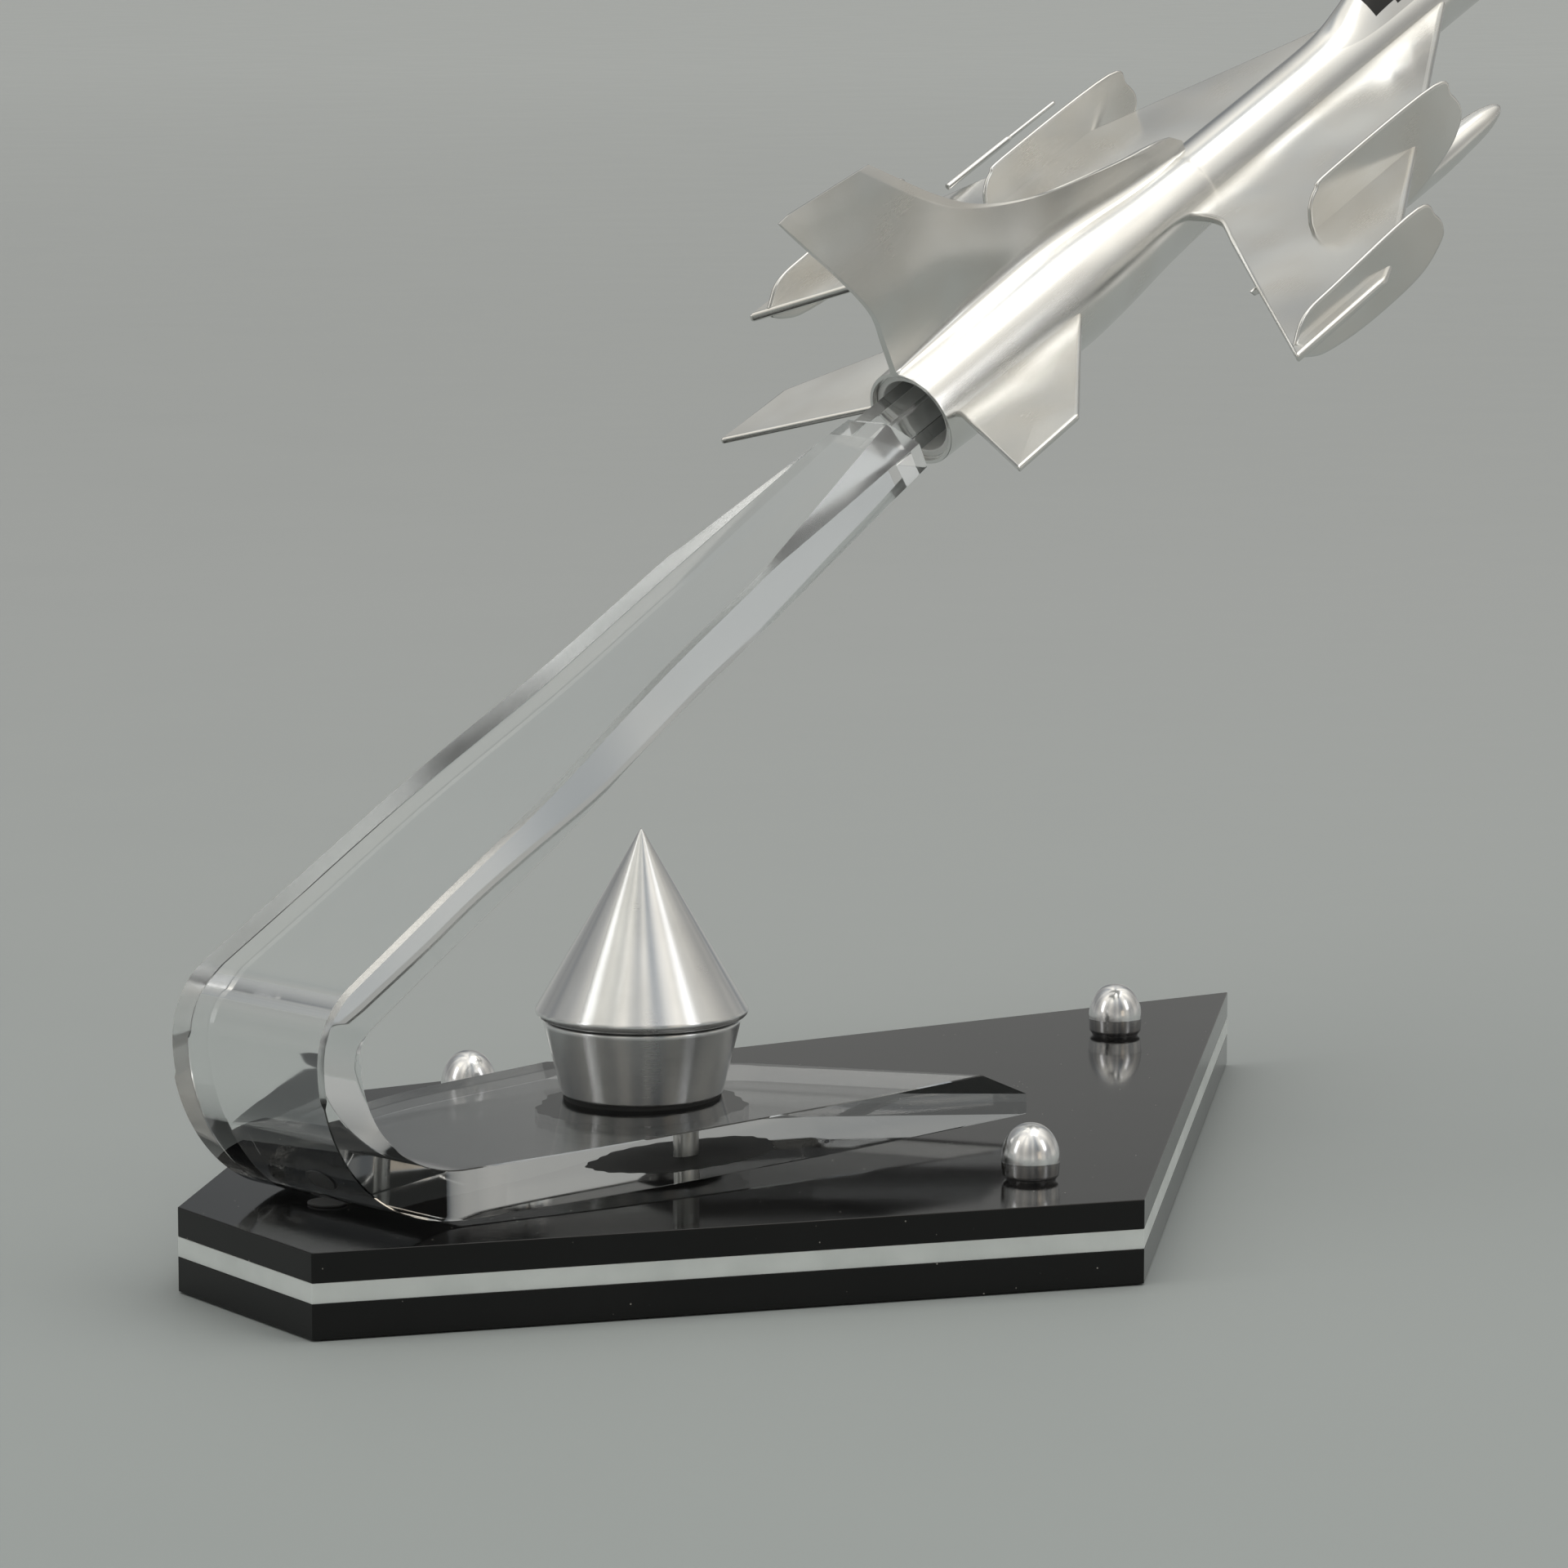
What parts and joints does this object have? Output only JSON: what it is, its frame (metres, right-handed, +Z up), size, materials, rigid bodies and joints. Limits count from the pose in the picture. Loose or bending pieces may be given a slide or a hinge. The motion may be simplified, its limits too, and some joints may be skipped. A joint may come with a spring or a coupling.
{
  "type": "display aircraft model",
  "caption": "Polished metal jet aircraft climbing on a bent clear acrylic strip, which stands with a turned cone on a black five-cornered layered base.",
  "frame": {"origin": "underside of the base, straight below the main stud", "axes": "+X the way the aircraft points, +Y its port side, +Z up"},
  "size_m": [0.438, 0.196, 0.2931],
  "materials": {
    "black_acrylic": "polished black cast acrylic sheet",
    "frosted_acrylic": "pale translucent acrylic sheet, saw-cut edge",
    "clear_acrylic": "clear cast acrylic, polished",
    "steel": "plain turned steel",
    "polished_nut": "polished plated metal",
    "black_cap": "satin black",
    "black_pad": "thin black pad",
    "turned_metal": "turned and polished, fine lathe marks",
    "aircraft_metal": "hand-polished satin metal"
  },
  "bodies": {
    "stand": {"base_plate_bottom": "black_acrylic", "base_plate_middle": "frosted_acrylic", "base_plate_top": "black_acrylic", "base_screw_left": "steel", "base_screw_right": "steel", "base_screw_front": "steel", "base_screw_rear": "steel", "rear_cap": "black_cap", "trail_strip": "clear_acrylic", "main_stud": "steel", "strip_pad": "black_pad", "cone_pad": "black_pad", "cone_foot": "turned_metal"},
    "cone_cap": {"cone_top": "turned_metal"},
    "nut_left": {"dome_nut_left": "polished_nut"},
    "nut_right": {"dome_nut_right": "polished_nut"},
    "nut_front": {"dome_nut_front": "polished_nut"},
    "aircraft": {"fuselage": "aircraft_metal", "tail_sleeve": "aircraft_metal", "nose": "aircraft_metal", "canopy": "aircraft_metal", "fin": "aircraft_metal", "tailplane_port": "aircraft_metal", "tailplane_starboard": "aircraft_metal", "wing_port": "aircraft_metal", "wing_starboard": "aircraft_metal", "inner_fence_port": "aircraft_metal", "inner_fence_starboard": "aircraft_metal", "outer_fence_port": "aircraft_metal", "outer_fence_starboard": "aircraft_metal", "tank_port": "aircraft_metal", "tank_starboard": "aircraft_metal", "pitot_rod": "aircraft_metal"}
  },
  "joints": [
    {"name": "aircraft_pull_off", "type": "slide", "parent": "stand", "child": "aircraft", "axis": [0.8886, 0, 0.4586], "range_m": [0, 0.03]},
    {"name": "cone_unscrew", "type": "hinge", "parent": "stand", "child": "cone_cap", "pos_m": [0, 0, 0.02974], "axis": [0, 0, 1], "continuous": true},
    {"name": "nut_left_turn", "type": "hinge", "parent": "stand", "child": "nut_left", "pos_m": [0.009, 0.0635, 0.017], "axis": [0, 0, 1], "continuous": true},
    {"name": "nut_right_turn", "type": "hinge", "parent": "stand", "child": "nut_right", "pos_m": [0.038, -0.0735, 0.017], "axis": [0, 0, 1], "continuous": true},
    {"name": "nut_front_turn", "type": "hinge", "parent": "stand", "child": "nut_front", "pos_m": [0.166, 0.0205, 0.017], "axis": [0, 0, 1], "continuous": true}
  ]
}
